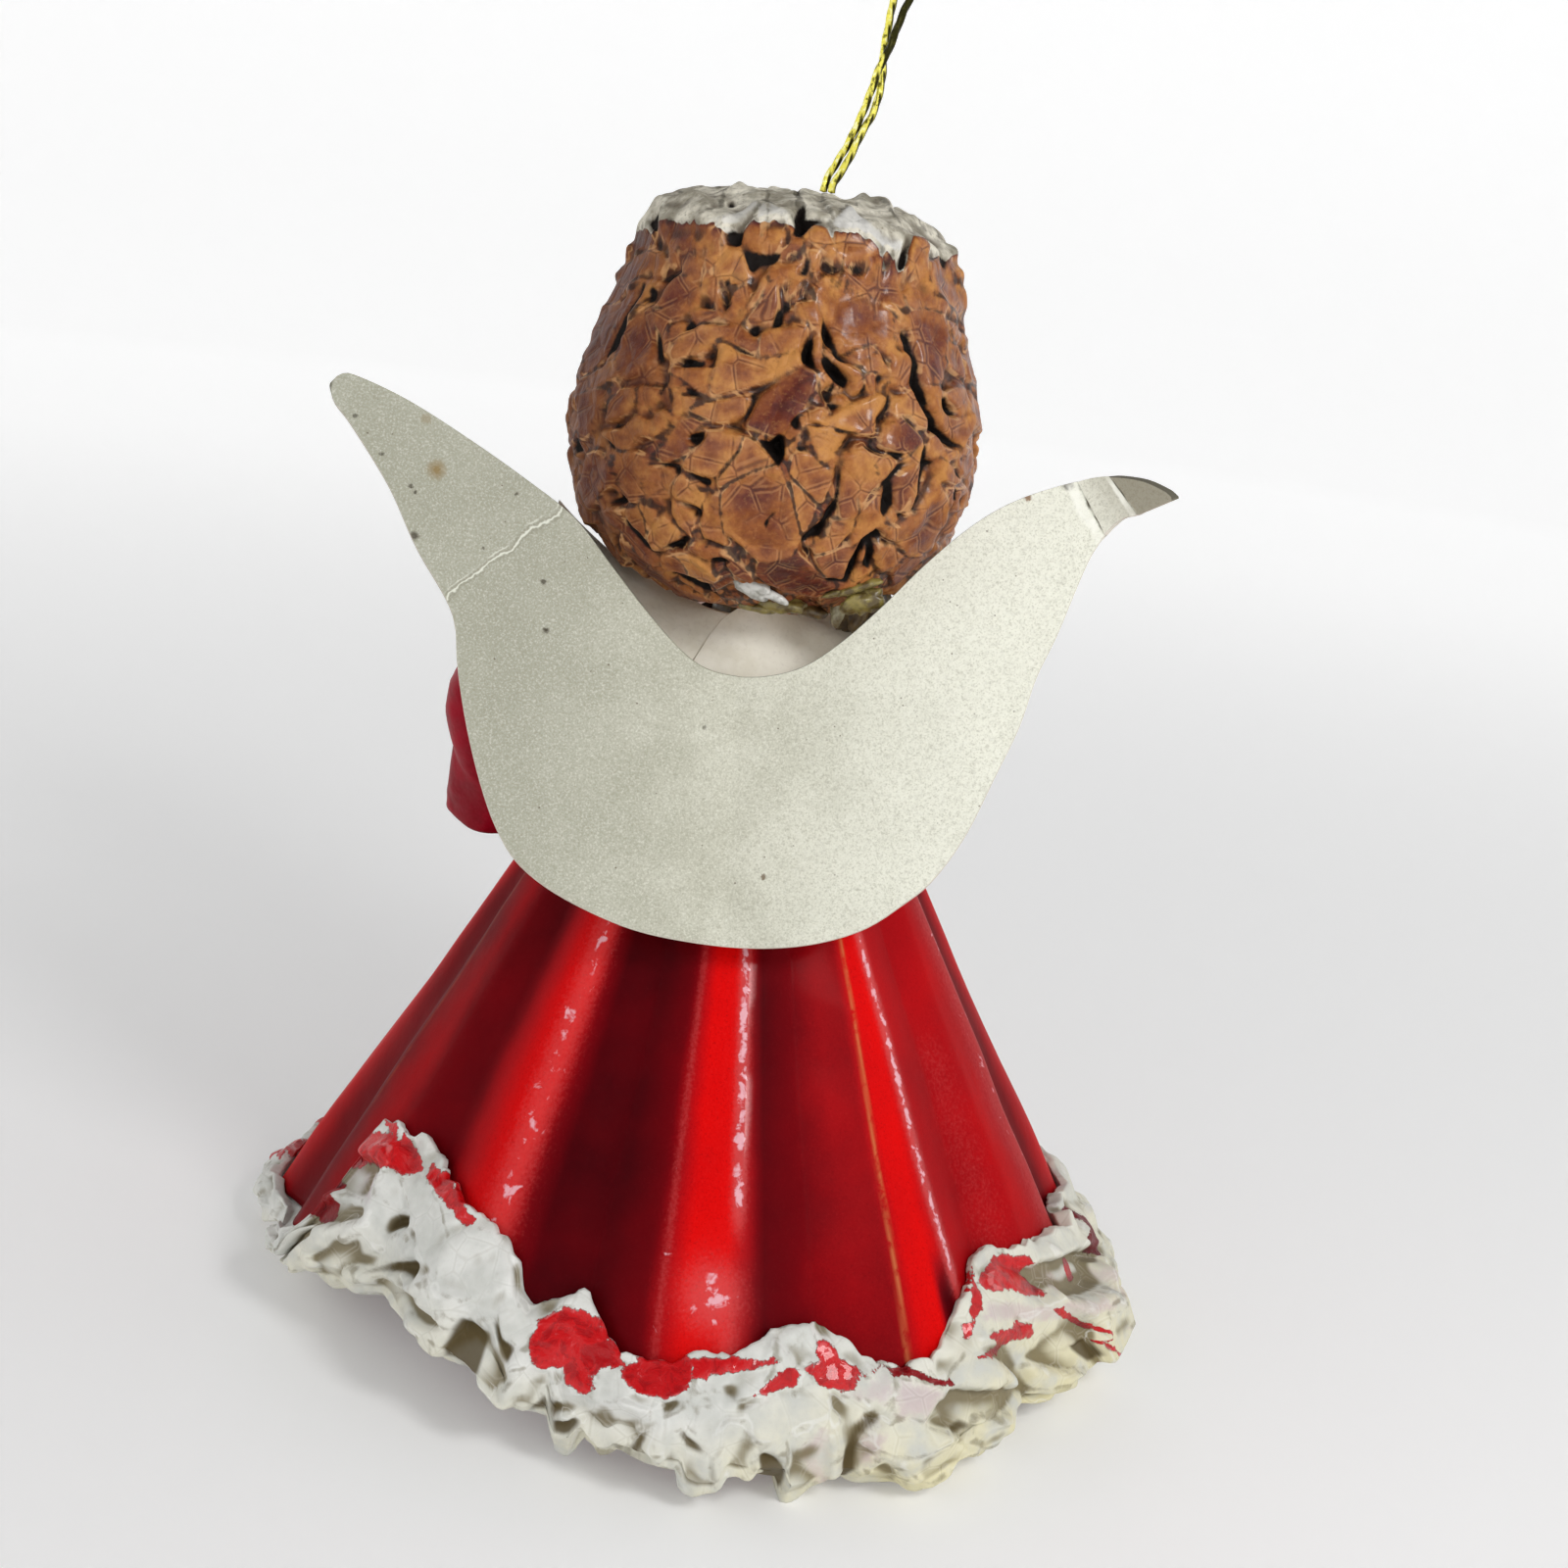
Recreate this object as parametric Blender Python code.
"""Papier-mache angel ornament, standing on the crumpled trim of its hem, with its back towards +Y.

Metres, +Z up, origin on the ground under the middle of the hem. The front faces -Y and the figure's left is +X.
Every piece is a thin sheet or a shell worked out from the sizes below, and neighbours keep GAP between them.
"""

import bmesh
import bpy
import numpy as np

# Clearance and walls
GAP = 0.0003
DRESS_WALL = 0.0007
SLEEVE_WALL = 0.0005
COLLAR_WALL = 0.0004
BOARD_WALL = 0.001

# Dress: a pleated cone whose neck sits a little to the left of its hem
DRESS_TOP_RADIUS = 0.0054
DRESS_HEM_RADIUS = 0.0449
DRESS_TOP_HEIGHT = 0.076
HEM_HEIGHT = 0.005
NECK_LEAN_WIDTH = 0.0019
PLEAT_COUNT = 11
PLEAT_DEPTH = 0.0027
FIRST_PLEAT = np.radians(94.5)
PLEAT_TOP_SHARE = 0.16
PLEAT_STATIONS = (-0.5, -0.33, -PLEAT_TOP_SHARE, 0.0, PLEAT_TOP_SHARE, 0.33)
DRESS_ROWS = 6

# Hem waves: the direction and half width of each in degrees, how far it lifts the trim's underside as a share of
# HEM_HEIGHT, and how much higher and thicker it makes the band as shares of TRIM_HEIGHT and TRIM_THICKNESS
HEM_WAVES = (
    (46.0, 52.0, 1.2, 0.21, 0.0),
    (142.0, 36.0, 0.3, 0.16, 0.0),
    (170.0, 26.0, 0.0, 0.07, 1.15),
    (232.0, 36.0, 0.6, 0.0, 0.0),
    (318.0, 32.0, 0.5, 0.0, 0.0),
)

# Trim: a crumpled band that wraps the hem's outside and its edge
TRIM_HEIGHT = 0.0140
TRIM_THICKNESS = 0.0021
TRIM_FOOT_INSET = 0.0022
TRIM_FOOT_WIDTH = 0.0018
TRIM_CRUMPLE = 0.0008
TRIM_TOP_RAGGEDNESS = 1.6
# From top to foot: a share of the band's height, how far it stands out as a share of its thickness, and how much
# the crumple moves it
TRIM_PROFILE = (
    (1.02, 0.35, 0.3),
    (0.84, 0.80, 1.0),
    (0.62, 1.00, 1.2),
    (0.40, 1.00, 1.2),
    (0.18, 0.35, 1.3),
)
TRIM_SPIKE_LENGTH = 0.0024
TRIM_SEED = 11

# Neck and head
NECK_CLEARANCE = 0.0005
NECK_DEPTH = 0.006
NECK_SIDES = 24
HEAD_RADIUS = 0.018
HEAD_CLEARANCE = 0.0008
NOSE_LENGTH = 0.0019
NOSE_RADIUS = 0.0028
HEAD_SIDES = 28
HEAD_ROWS = 12

# Hair: its outline as shares of the hair's radius, from the underside to the crown
HAIR_RADIUS = 0.0209
HAIR_OUTLINE = (
    (0.43, -0.77),
    (0.62, -0.72),
    (0.88, -0.53),
    (1.00, -0.16),
    (0.99, 0.10),
    (0.92, 0.38),
    (0.84, 0.72),
    (0.78, 0.93),
    (0.66, 1.03),
    (0.38, 1.10),
    (0.00, 1.12),
)
HAIR_RIM = 0.0014
HAIR_CRUMPLE = 0.0009
HAIR_FOLD_LENGTH = 0.009
HAIR_FOLDS = 9
HAIR_FOLD_REST = 0.6
HAIR_SEED = 5
HAIR_SIDES = 36
HAIR_ROWS = 16
HAIR_LINING_ROWS = 11
HAIR_RIM_TURN = np.radians(14.0)
FACE_TILT = np.radians(18.0)
FACE_OPENING = np.radians(50.0)
NAPE_OPENING = np.radians(104.0)

# Collar: a paper sheet round the neck that falls at the back and front and curls up over the shoulders
COLLAR_HOLE_RADIUS = 0.006
COLLAR_WIDTH = 0.015
COLLAR_CLEARANCE = 0.0004
COLLAR_BACK_SLOPE = 1.6
COLLAR_FRONT_SLOPE = 0.45
COLLAR_SIDE_CURL = 0.40
COLLAR_SIDES = 36
COLLAR_ROWS = 4

# Sleeves: tubes that widen to an oblique cuff. Each point of a route is a direction from the dress's axis in
# degrees, a share of DRESS_TOP_HEIGHT, and the air between tube and dress as a share of the cuff's radius.
SLEEVE_SHOULDER_RADIUS = 0.003
SLEEVE_CUFF_RADIUS = 0.0061
SLEEVE_LEFT_ROUTE = (
    (-6.0, 0.945, 0.10),
    (-9.0, 0.884, 1.60),
    (-15.0, 0.803, 1.48),
    (-22.0, 0.724, 0.79),
    (-29.0, 0.618, 0.30),
)
SLEEVE_RIGHT_ROUTE = (
    (187.0, 0.945, 0.10),
    (198.0, 0.897, 0.59),
    (216.0, 0.842, 0.95),
    (236.0, 0.779, 1.08),
)
CUFF_SLANT = 0.35
SLEEVE_SIDES = 16
SLEEVE_ROWS = 8

# Wings: one flat board before it is folded. Both edges are shares of the span, from the middle out, and of the
# board's height, from the right tip to the left one.
WING_SPAN = 0.0428
WING_HEIGHT = 0.0487
WING_TOPSIDE = (
    (-0.955, 0.973),
    (-0.86, 1.00),
    (-0.75, 0.998),
    (-0.63, 0.961),
    (-0.54, 0.918),
    (-0.46, 0.859),
    (-0.38, 0.782),
    (-0.30, 0.694),
    (-0.22, 0.616),
    (-0.14, 0.559),
    (-0.05, 0.531),
    (0.04, 0.527),
    (0.10, 0.539),
    (0.16, 0.573),
    (0.24, 0.635),
    (0.32, 0.704),
    (0.42, 0.790),
    (0.54, 0.851),
    (0.69, 0.916),
    (0.83, 0.969),
    (0.95, 0.998),
    (1.00, 0.988),
)
WING_UNDERSIDE = (
    (-0.955, 0.960),
    (-0.86, 0.931),
    (-0.81, 0.914),
    (-0.756, 0.847),
    (-0.70, 0.680),
    (-0.665, 0.590),
    (-0.64, 0.488),
    (-0.60, 0.386),
    (-0.55, 0.263),
    (-0.49, 0.169),
    (-0.43, 0.114),
    (-0.35, 0.057),
    (-0.24, 0.016),
    (-0.11, -0.006),
    (0.04, -0.010),
    (0.18, 0.002),
    (0.33, 0.043),
    (0.43, 0.092),
    (0.49, 0.153),
    (0.54, 0.235),
    (0.59, 0.345),
    (0.63, 0.459),
    (0.66, 0.565),
    (0.76, 0.678),
    (0.84, 0.782),
    (0.94, 0.882),
    (1.00, 0.959),
)

# Lines across the board, as the shares of the span where each meets the upper and the lower edge, with the angle
# in degrees by which the board turns back there. The middle fold is the line that meets the upper edge at 0.
WING_LINES = (
    (-0.955, -0.955, 0.0),
    (-0.85, -0.89, 18.0),
    (-0.765, -0.756, 30.0),
    (-0.50, -0.64, 0.0),
    (-0.22, -0.43, 0.0),
    (0.0, -0.05, 0.0),
    (0.22, 0.43, 0.0),
    (0.44, 0.65, 8.0),
    (0.74, 0.82, 0.0),
    (1.0, 1.0, 0.0),
)
WING_LINE_STEPS = 3
WING_FOLD = np.radians(8.0)
WING_LEAN = np.radians(22.0)
WING_DROP_HEIGHT = 0.0273
WING_ROWS = 4

# Hanging cord: the route of one loop, chosen by hand, from the crown and back to it
CORD_DIAMETER = 0.0008
CORD_ROUTE = (
    (-0.0008, 0.0003, 0.1193),
    (-0.0013, 0.0003, 0.1204),
    (-0.0020, 0.0002, 0.1219),
    (-0.0030, 0.0000, 0.1247),
    (-0.0037, -0.0002, 0.1263),
    (-0.0041, -0.0004, 0.1282),
    (-0.0042, -0.0005, 0.1302),
    (-0.0040, -0.0005, 0.1323),
    (-0.0041, -0.0004, 0.1340),
    (-0.0043, -0.0002, 0.1371),
    (-0.0045, 0.0000, 0.1400),
    (-0.0050, 0.0000, 0.1440),
    (-0.0064, 0.0000, 0.1474),
    (-0.0088, 0.0000, 0.1492),
    (-0.0112, 0.0000, 0.1484),
    (-0.0120, 0.0000, 0.1458),
    (-0.0109, 0.0000, 0.1430),
    (-0.0085, 0.0000, 0.1404),
    (-0.0067, 0.0002, 0.1388),
    (-0.0058, 0.0003, 0.1372),
    (-0.0052, 0.0004, 0.1353),
    (-0.0048, 0.0005, 0.1337),
    (-0.0044, 0.0006, 0.1322),
    (-0.0037, 0.0006, 0.1307),
    (-0.0031, 0.0003, 0.1285),
    (-0.0025, -0.0001, 0.1262),
    (-0.0017, -0.0005, 0.1241),
    (-0.0012, -0.0006, 0.1226),
    (-0.0003, -0.0005, 0.1203),
    (0.0000, -0.0004, 0.1193),
)
CORD_POINT_SPACING = 0.0018


def clear_scene():
    for item in list(bpy.data.objects):
        bpy.data.objects.remove(item, do_unlink=True)


def material(name, colour, roughness, metallic=0.0):
    made = bpy.data.materials.new(name)
    made.use_nodes = True
    shader = made.node_tree.nodes["Principled BSDF"]
    shader.inputs["Base Color"].default_value = (*colour, 1.0)
    shader.inputs["Roughness"].default_value = roughness
    shader.inputs["Metallic"].default_value = metallic
    return made


def loft(name, rings, ends, finish):
    """One closed body through rings of equally many points. ends is "joined", where the last ring meets the
    first, "poles", where the first and last entries are single points, or "flat", where each end is one face."""
    points = []
    starts = []
    for ring in rings:
        starts.append(len(points))
        points.extend(np.atleast_2d(ring).tolist())
    sides = max(len(np.atleast_2d(ring)) for ring in rings)
    pairs = list(zip(range(len(rings) - 1), range(1, len(rings))))
    if ends == "joined":
        pairs.append((len(rings) - 1, 0))
    faces = []
    for low, high in pairs:
        for side in range(sides):
            after = (side + 1) % sides
            corners = [starts[low] + side, starts[low] + after, starts[high] + after, starts[high] + side]
            if ends == "poles" and low == 0:
                corners = [starts[low], starts[high] + after, starts[high] + side]
            elif ends == "poles" and high == len(rings) - 1:
                corners = [starts[low] + side, starts[low] + after, starts[high]]
            faces.append(corners)
    if ends == "flat":
        faces.append(list(range(sides))[::-1])
        faces.append([starts[-1] + side for side in range(sides)])
    mesh = bpy.data.meshes.new(name)
    mesh.from_pydata(points, [], faces)
    shape = bmesh.new()
    shape.from_mesh(mesh)
    bmesh.ops.recalc_face_normals(shape, faces=shape.faces)
    shape.to_mesh(mesh)
    shape.free()
    mesh.shade_smooth()
    mesh.set_sharp_from_angle(angle=np.radians(25.0))
    mesh.materials.append(finish)
    made = bpy.data.objects.new(name, mesh)
    bpy.context.scene.collection.objects.link(made)
    return made


def polar(radius, turn, height, middle=0.0):
    """Points at a radius and a direction round the upright line through (middle, 0)."""
    return np.stack([middle + radius * np.cos(turn), radius * np.sin(turn), height + 0.0 * turn], axis=-1)


def axis_x(height):
    """The dress leans sideways: its axis is over the origin on the ground and at NECK_LEAN_WIDTH at its top."""
    return NECK_LEAN_WIDTH * height / DRESS_TOP_HEIGHT


def cone_radius(height):
    share = (height - HEM_HEIGHT) / (DRESS_TOP_HEIGHT - HEM_HEIGHT)
    return DRESS_HEM_RADIUS + (DRESS_TOP_RADIUS - DRESS_HEM_RADIUS) * share


def pleat(turn):
    """1 on the flat top of a pleat and 0 in the valley between two, with straight flanks."""
    place = (turn - FIRST_PLEAT) * PLEAT_COUNT / (2 * np.pi)
    off = np.abs(place - np.round(place))
    return np.clip((0.5 - off) / (0.5 - PLEAT_TOP_SHARE), 0.0, 1.0)


def pleat_depth(height):
    """Pleats deepen evenly from nothing at the top of the dress to PLEAT_DEPTH at its hem."""
    return PLEAT_DEPTH * (DRESS_TOP_HEIGHT - height) / (DRESS_TOP_HEIGHT - HEM_HEIGHT)


def dress_radius(turn, height):
    return cone_radius(height) + pleat_depth(height) * (pleat(turn) - 0.5)


def widest_dress(height):
    return cone_radius(height) + 0.5 * pleat_depth(height)


def hem_wave(turn, column):
    """The sum of one cosine bump for each wave, as tall as the wave's entry in the given column."""
    total = 0.0 * turn
    for wave in HEM_WAVES:
        off = np.abs(np.angle(np.exp(1j * (turn - np.radians(wave[0]))))) / np.radians(wave[1])
        total = total + wave[column] * np.cos(np.clip(off, 0.0, 1.0) * np.pi / 2) ** 2
    return total


def pleat_turns():
    """Directions of the dress's upright lines, at the same stations on every pleat."""
    places = [count + station for count in range(PLEAT_COUNT) for station in PLEAT_STATIONS]
    return FIRST_PLEAT + np.array(places) * 2 * np.pi / PLEAT_COUNT


def build_dress(finish):
    """A straight pleated cone, open at both ends: its outside from top to hem, then its inside back up."""
    turns = pleat_turns()
    hem = HEM_HEIGHT * (1 + hem_wave(turns, 2))
    rings = []
    for inset, shares in ((0.0, np.linspace(1, 0, DRESS_ROWS)), (DRESS_WALL, np.linspace(0, 1, DRESS_ROWS))):
        for share in shares:
            height = hem + (DRESS_TOP_HEIGHT - hem) * share
            rings.append(polar(dress_radius(turns, height) - inset, turns, height, axis_x(height)))
    return loft("dress", rings, "joined", finish)


def build_trim(finish):
    """A band whose section hugs the wall's outside, goes under its edge and turns up inside. A seeded draw moves
    its outer points and breaks the band into flat facets with a few spiky corners. Its underside stays level."""
    turns = pleat_turns()
    draw = np.random.default_rng(TRIM_SEED)

    def crumple(most):
        return TRIM_CRUMPLE * most * draw.uniform(-1, 1, len(turns))

    rise = HEM_HEIGHT * hem_wave(turns, 2)
    edge = HEM_HEIGHT + rise
    top = rise + TRIM_HEIGHT * (1 + hem_wave(turns, 3)) + crumple(TRIM_TOP_RAGGEDNESS)
    thickness = TRIM_THICKNESS * (1 + hem_wave(turns, 4))
    rings = [polar(dress_radius(turns, top) + GAP, turns, top, axis_x(top))]
    for up, out, moved in TRIM_PROFILE:
        height = rise + (top - rise) * up
        wall = dress_radius(turns, np.maximum(height, edge))
        rings.append(polar(wall + GAP + thickness * out + crumple(moved), turns, height, axis_x(height)))
    wall = dress_radius(turns, edge)
    middle = axis_x(edge)
    foot = wall - TRIM_FOOT_INSET
    rings.append(polar(foot + TRIM_SPIKE_LENGTH * draw.uniform(0, 1, len(turns)) ** 4, turns, rise, middle))
    rings.append(polar(foot - TRIM_FOOT_WIDTH, turns, rise, middle))
    rings.append(polar(foot - TRIM_FOOT_WIDTH, turns, (rise + edge) / 2, middle))
    rings.append(polar(wall - DRESS_WALL - GAP, turns, edge - GAP, middle))
    rings.append(polar(wall + GAP, turns, edge - GAP, middle))
    return loft("hem_trim", rings, "joined", finish)


def collar_point(out, turn, lift=0.0):
    """A point of the collar's underside at a distance out along the sheet from its hole. The sheet falls in
    straight lines behind and in front, and curls up over the shoulders with the square of the distance."""
    back = np.clip(np.sin(turn), 0, 1) ** 1.5
    front = np.clip(-np.sin(turn), 0, 1) ** 1.5
    fall = COLLAR_BACK_SLOPE * back + COLLAR_FRONT_SLOPE * front
    curl = COLLAR_SIDE_CURL * (1 - back - front)
    run = out / np.sqrt(1 + fall**2)
    height = DRESS_TOP_HEIGHT + COLLAR_CLEARANCE - fall * run + curl * run**2 / COLLAR_WIDTH + lift
    return polar(COLLAR_HOLE_RADIUS + run, turn, height, NECK_LEAN_WIDTH)


def build_collar(finish):
    turns = np.linspace(0, 2 * np.pi, COLLAR_SIDES, endpoint=False)
    outs = np.linspace(0, COLLAR_WIDTH, COLLAR_ROWS)
    rings = [collar_point(out, turns, COLLAR_WALL) for out in outs]
    rings += [collar_point(out, turns) for out in outs[::-1]]
    return loft("collar", rings, "joined", finish)


def hair_reach(rise):
    """The hair's outer distance from the head's middle in the direction rise above level, along HAIR_OUTLINE."""
    outline = np.array(HAIR_OUTLINE) * HAIR_RADIUS
    angles = np.arctan2(outline[:, 1], outline[:, 0])
    reach = np.interp(rise, angles, np.hypot(outline[:, 0], outline[:, 1]))
    return np.maximum(reach, HEAD_RADIUS + GAP + HAIR_RIM)


def hair_folds(ways):
    """From -1 to 0, with sharp valleys: the mean of seeded waves that run across the hair in all directions."""
    draw = np.random.default_rng(HAIR_SEED)
    across = draw.normal(size=(HAIR_FOLDS, 3))
    across *= 2 * np.pi / HAIR_FOLD_LENGTH / np.linalg.norm(across, axis=1)[:, None]
    waves = np.sin(ways * HAIR_RADIUS @ across.T + draw.uniform(0, 2 * np.pi, HAIR_FOLDS))
    return -np.abs(waves.sum(axis=1)) / np.sqrt(HAIR_FOLDS)


def face_direction(opening, turn):
    """A unit vector at an angle from the face's forward line, which points to -Y and FACE_TILT down, turned
    round it from straight up."""
    forward = np.array([0.0, -np.cos(FACE_TILT), -np.sin(FACE_TILT)])
    upward = np.array([0.0, -np.sin(FACE_TILT), np.cos(FACE_TILT)])
    sideways = np.array([1.0, 0.0, 0.0])
    opening = np.asarray(opening)[..., None]
    turn = np.asarray(turn)[..., None]
    return np.cos(opening) * forward + np.sin(opening) * (np.cos(turn) * upward + np.sin(turn) * sideways)


def hair_edge(turn):
    """The hair's edge round the face, which runs on under the chin to the nape."""
    return FACE_OPENING + (NAPE_OPENING - FACE_OPENING) * ((1 - np.cos(turn)) / 2) ** 6


def head_height():
    """The head's middle: hair and ball hang HEAD_CLEARANCE clear of the collar wherever they come nearest to it."""
    turns = np.linspace(0, 2 * np.pi, COLLAR_SIDES, endpoint=False)
    nape = np.arcsin(face_direction(NAPE_OPENING, np.pi)[2])
    rises = np.radians(np.linspace(-80.0, 0.0, 41))
    reaches = np.where(rises > nape, hair_reach(rises), HEAD_RADIUS + GAP)
    widths = reaches * np.cos(rises)
    drops = reaches * np.sin(rises)
    needed = []
    for out in np.linspace(0, COLLAR_WIDTH, 24):
        points = collar_point(out, turns, COLLAR_WALL)
        radius = np.hypot(points[:, 0] - NECK_LEAN_WIDTH, points[:, 1])
        needed.append((points[:, 2] - np.interp(radius, widths, drops)).max())
    return max(needed) + HEAD_CLEARANCE


def build_head(middle, finish):
    """A ball with a small nose, as rings round the face's forward line."""
    turns = np.linspace(0, 2 * np.pi, HEAD_SIDES, endpoint=False)
    nose = NOSE_RADIUS / HEAD_RADIUS
    openings = np.concatenate([nose * np.array([0.5, 1.2, 2.1]), np.linspace(3.4 * nose, np.pi, HEAD_ROWS)[:-1]])
    rings = [middle + face_direction(0.0, 0.0) * (HEAD_RADIUS + NOSE_LENGTH)]
    for opening in openings:
        bump = NOSE_LENGTH * np.exp(-((opening / nose) ** 2))
        rings.append(middle + face_direction(opening + 0 * turns, turns) * (HEAD_RADIUS + bump))
    rings.append(middle - face_direction(0.0, 0.0) * HEAD_RADIUS)
    return loft("head", rings, "poles", finish)


def build_hair(middle, finish):
    """A thick shell over the ball, open round the face: its outside from the back to the edge, then its lining."""
    turns = np.linspace(0, 2 * np.pi, HAIR_SIDES, endpoint=False)
    edge = hair_edge(turns)
    back = face_direction(np.pi, 0.0)
    lining = HEAD_RADIUS + GAP
    furthest = hair_reach(np.arcsin(back[2])) + HAIR_CRUMPLE * (HAIR_FOLD_REST + hair_folds(back[None])[0])
    rings = [middle + back * furthest]
    for share in np.linspace(1, 0, HAIR_ROWS + 1)[1:]:
        openings = edge + (np.pi - edge) * share
        ways = face_direction(openings, turns)
        reach = hair_reach(np.arcsin(ways[:, 2]))
        thin = np.clip((openings - edge) / HAIR_RIM_TURN, 0.0, 1.0)
        puff = HAIR_RIM + (reach - lining - HAIR_RIM) * np.sin(thin * np.pi / 2)
        puff = puff + HAIR_CRUMPLE * (HAIR_FOLD_REST + hair_folds(ways)) * (thin > 0)
        rings.append(middle + ways * (lining + puff)[:, None])
    for share in np.linspace(0, 1, HAIR_LINING_ROWS + 1)[:-1]:
        openings = edge + (np.pi - edge) * share
        rings.append(middle + face_direction(openings, turns) * lining)
    rings.append(middle + back * lining)
    return loft("hair", rings, "poles", finish)


def build_neck(middle, finish):
    """A round stub whose top is hollowed to the ball and whose foot stands in the dress's neck."""
    turns = np.linspace(0, 2 * np.pi, NECK_SIDES, endpoint=False)
    radius = DRESS_TOP_RADIUS - DRESS_WALL - NECK_CLEARANCE
    ball = HEAD_RADIUS + GAP
    foot = DRESS_TOP_HEIGHT - NECK_DEPTH
    rings = [np.array([NECK_LEAN_WIDTH, 0.0, foot]), polar(radius, turns, foot, NECK_LEAN_WIDTH)]
    for share in (1.0, 0.6, 0.3):
        out = radius * share
        rings.append(polar(out, turns, middle[2] - np.sqrt(ball**2 - out**2), NECK_LEAN_WIDTH))
    rings.append(middle - np.array([0.0, 0.0, ball]))
    return loft("neck", rings, "poles", finish)


def smooth_route(points, count):
    """Catmull-Rom curve through the points, read at count places evenly along it."""
    points = np.array(points, dtype=float)
    padded = np.vstack([2 * points[0] - points[1], points, 2 * points[-1] - points[-2]])
    share = np.linspace(0, 1, 16, endpoint=False)[:, None]
    fine = []
    for first in range(len(points) - 1):
        before, start, end, after = padded[first : first + 4]
        curve = 2 * start + (end - before) * share
        curve = curve + (2 * before - 5 * start + 4 * end - after) * share**2
        curve = curve + (3 * start - before - 3 * end + after) * share**3
        fine.append(curve / 2)
    fine = np.vstack([*fine, points[-1:]])
    along = np.concatenate([[0.0], np.cumsum(np.linalg.norm(np.diff(fine, axis=0), axis=1))])
    places = np.linspace(0, along[-1], count)
    return np.stack([np.interp(places, along, fine[:, axis]) for axis in range(3)], axis=1)


def sleeve_route(route):
    """The sleeve's centre line, each point held off the dress by the tube's own radius and its air."""
    radii = np.linspace(SLEEVE_SHOULDER_RADIUS, SLEEVE_CUFF_RADIUS, len(route))
    points = []
    for radius, (degrees, up, air) in zip(radii, route):
        turn = np.radians(degrees)
        height = DRESS_TOP_HEIGHT * up
        out = widest_dress(height) + GAP + SLEEVE_CUFF_RADIUS * air + radius
        points.append([axis_x(height) + out * np.cos(turn), out * np.sin(turn), height])
    return np.array(points)


def build_sleeve(name, route, finish):
    """A paper tube along its route, pinched shut at the shoulder and hollow down to an oblique cuff whose
    front lip is the longer one."""
    centres = smooth_route(sleeve_route(route), SLEEVE_ROWS)
    along = np.gradient(centres, axis=0)
    along /= np.linalg.norm(along, axis=1)[:, None]
    shares = np.linspace(0, 1, SLEEVE_ROWS)
    radii = SLEEVE_SHOULDER_RADIUS + (SLEEVE_CUFF_RADIUS - SLEEVE_SHOULDER_RADIUS) * np.sin(shares * np.pi / 2)
    turns = np.linspace(0, 2 * np.pi, SLEEVE_SIDES, endpoint=False)

    def section(row, inset):
        side = np.cross(along[row], [0.0, 0.0, 1.0])
        side /= np.linalg.norm(side)
        front = np.cross(side, along[row])
        ways = np.cos(turns)[:, None] * side + np.sin(turns)[:, None] * front
        ring = centres[row] + ways * (radii[row] - inset)
        if row == SLEEVE_ROWS - 1:
            ring = ring - along[row] * (ways[:, 1] * CUFF_SLANT * radii[row])[:, None]
        return ring

    rings = [centres[0]]
    rings += [section(row, 0.0) for row in range(SLEEVE_ROWS)]
    rings += [section(row, SLEEVE_WALL) for row in range(SLEEVE_ROWS - 1, 0, -1)]
    rings.append(centres[0] + along[0] * 3 * SLEEVE_WALL)
    return loft(name, rings, "poles", finish)


def turned(points, foot, way, angle):
    """Points turned by an angle round the line through foot along the unit vector way."""
    arm = points - foot
    around = np.cross(way, arm)
    return foot + arm * np.cos(angle) + around * np.sin(angle) + way * (arm @ way)[..., None] * (1 - np.cos(angle))


def wing_lines():
    """WING_LINES with WING_LINE_STEPS steps from each line to the next, and the angle only at its own line."""
    lines = np.array(WING_LINES)
    steps = np.arange((len(lines) - 1) * WING_LINE_STEPS + 1)
    places = steps / WING_LINE_STEPS
    rows = np.arange(len(lines))
    upper = np.interp(places, rows, lines[:, 0])
    lower = np.interp(places, rows, lines[:, 1])
    angles = np.where(steps % WING_LINE_STEPS == 0, lines[steps // WING_LINE_STEPS, 2], 0.0)
    return upper, lower, np.radians(angles)


def wing_sheet():
    """The board's middle surface as a grid, one row of points for each line across it. It is laid flat, each side
    is swept back at the middle fold, every crease turns what lies beyond it, and the whole leans forward."""
    upper, lower, angles = wing_lines()
    ends = []
    for across, outline in ((upper, np.array(WING_TOPSIDE)), (lower, np.array(WING_UNDERSIDE))):
        up = np.interp(across, outline[:, 0], outline[:, 1])
        ends.append(np.stack([across * WING_SPAN, 0.0 * across, up * WING_HEIGHT], axis=1))
    high, low = ends
    grid = low[:, None] + (high - low)[:, None] * np.linspace(0, 1, WING_ROWS)[None, :, None]
    middle = int(np.argmin(np.abs(upper)))
    folds = [(middle, 1, WING_FOLD), (middle, -1, WING_FOLD)]
    folds += [(row, 1 if row > middle else -1, angles[row]) for row in np.flatnonzero(angles)]
    for row, side, angle in folds:
        beyond = slice(row + 1, None) if side > 0 else slice(0, row)
        way = grid[row, -1] - grid[row, 0]
        way /= np.linalg.norm(way)
        grid[beyond] = turned(grid[beyond], grid[row, 0].copy(), way, side * angle)
    lean = turned(grid, np.zeros(3), np.array([1.0, 0.0, 0.0]), WING_LEAN)
    return lean + np.array([NECK_LEAN_WIDTH, 0.0, DRESS_TOP_HEIGHT - WING_DROP_HEIGHT])


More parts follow.
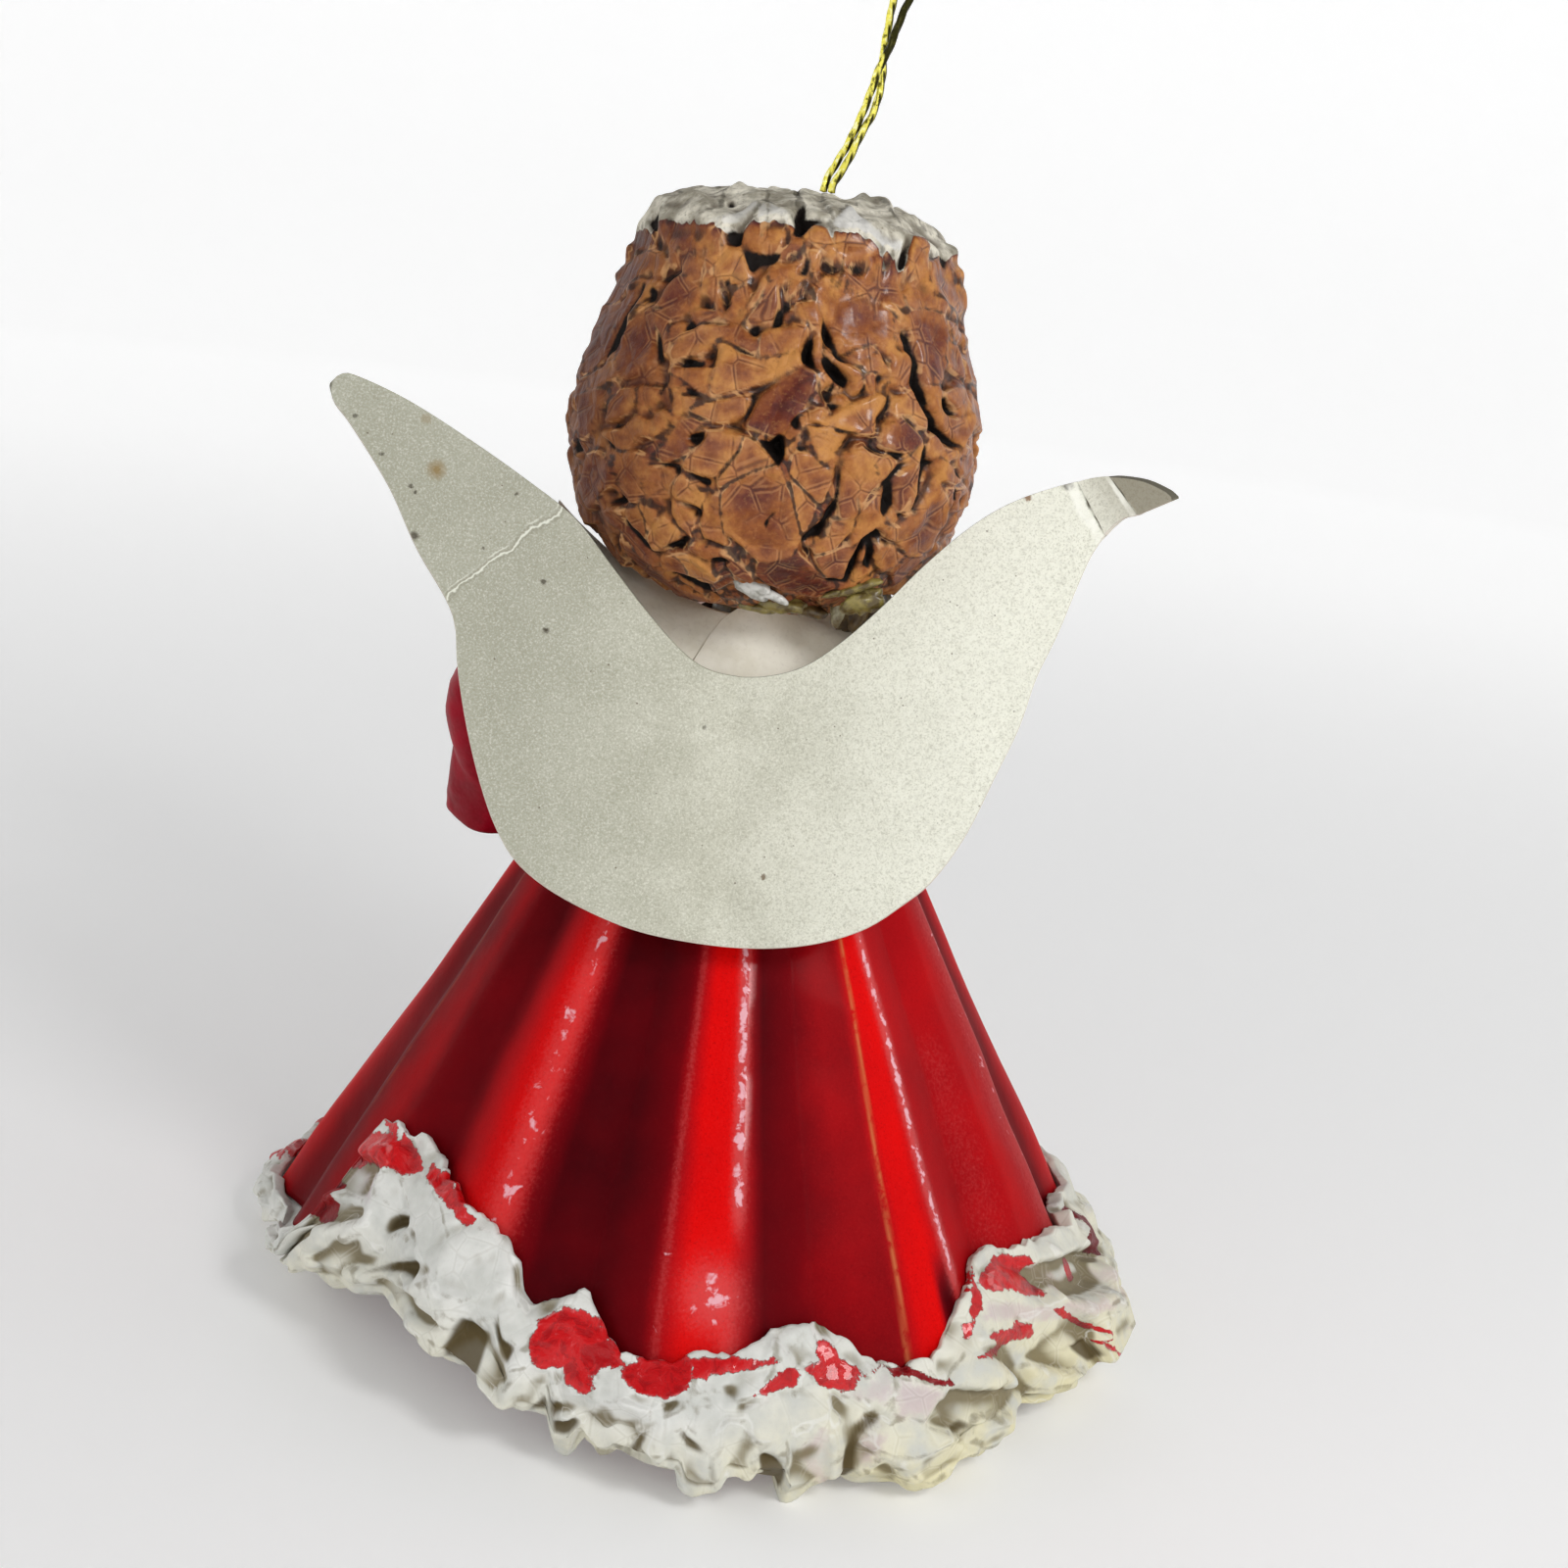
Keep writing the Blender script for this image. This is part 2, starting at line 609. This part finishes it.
def sheet_normals(grid):
    normals = np.cross(np.gradient(grid, axis=0), np.gradient(grid, axis=1))
    return normals / np.linalg.norm(normals, axis=-1)[..., None]


def depth_at(side, reach):
    """How far back a round body of this radius reaches at a distance to the side of its middle."""
    return np.where(np.abs(side) < reach, np.sqrt(np.clip(reach**2 - side**2, 0, None)), -1.0)


def pushed_back(grid, middle):
    """The board set as far back as it must be to clear the dress, the hair and the collar."""
    air = 1.3 * (GAP + BOARD_WALL / 2)
    x, y, height = grid.reshape(-1, 3).T
    dress = np.where(height < DRESS_TOP_HEIGHT, widest_dress(height), 0.0) + air
    rises = np.radians(np.linspace(-89, 89, 179))
    outline = hair_reach(rises)
    hair = np.interp(height - middle[2], outline * np.sin(rises), outline * np.cos(rises), left=0.0, right=0.0)
    hair = hair + HAIR_CRUMPLE + air
    needed = [(depth_at(x - axis_x(height), dress) - y).max(), (depth_at(x - middle[0], hair) - y).max()]
    centre = grid[int(np.argmin(np.abs(wing_lines()[0])))]
    for out in np.linspace(0, COLLAR_WIDTH, 16):
        edge = collar_point(out, np.pi / 2, COLLAR_WALL)
        if centre[0, 2] < edge[2] < centre[-1, 2]:
            needed.append(edge[1] + air - np.interp(edge[2], centre[:, 2], centre[:, 1]))
    return grid + np.array([0.0, max(needed), 0.0])


def build_wings(middle, finish):
    grid = pushed_back(wing_sheet(), middle)
    half = sheet_normals(grid) * BOARD_WALL / 2
    rings = [np.vstack([front, back[::-1]]) for front, back in zip(grid + half, grid - half)]
    return loft("wings", rings, "flat", finish)


def build_cord(finish):
    route = np.array(CORD_ROUTE)
    length = np.linalg.norm(np.diff(route, axis=0), axis=1).sum()
    points = smooth_route(route, int(length / CORD_POINT_SPACING) + 1)
    curve = bpy.data.curves.new("hanging_cord", "CURVE")
    curve.dimensions = "3D"
    curve.bevel_depth = CORD_DIAMETER / 2
    curve.bevel_resolution = 2
    curve.use_fill_caps = True
    spline = curve.splines.new("POLY")
    spline.points.add(len(points) - 1)
    for place, point in zip(spline.points, points):
        place.co = (*point, 1.0)
    curve.materials.append(finish)
    made = bpy.data.objects.new("hanging_cord", curve)
    bpy.context.scene.collection.objects.link(made)
    return made


def build():
    clear_scene()
    red = material("red lacquered paper", (0.45, 0.01, 0.015), 0.25)
    middle = np.array([NECK_LEAN_WIDTH, 0.0, head_height()])
    build_dress(red)
    build_trim(material("white paper", (0.75, 0.74, 0.68), 0.7))
    build_collar(material("collar paper", (0.72, 0.68, 0.68), 0.7))
    build_neck(middle, material("glued neck", (0.12, 0.06, 0.03), 0.5))
    build_head(middle, material("painted face", (0.80, 0.56, 0.44), 0.5))
    build_hair(middle, material("brown lacquered paper", (0.30, 0.11, 0.035), 0.4))
    build_sleeve("sleeve_left", SLEEVE_LEFT_ROUTE, red)
    build_sleeve("sleeve_right", SLEEVE_RIGHT_ROUTE, red)
    build_wings(middle, material("grey board", (0.60, 0.59, 0.52), 0.8))
    build_cord(material("gold cord", (0.75, 0.60, 0.12), 0.3, 1.0))


build()
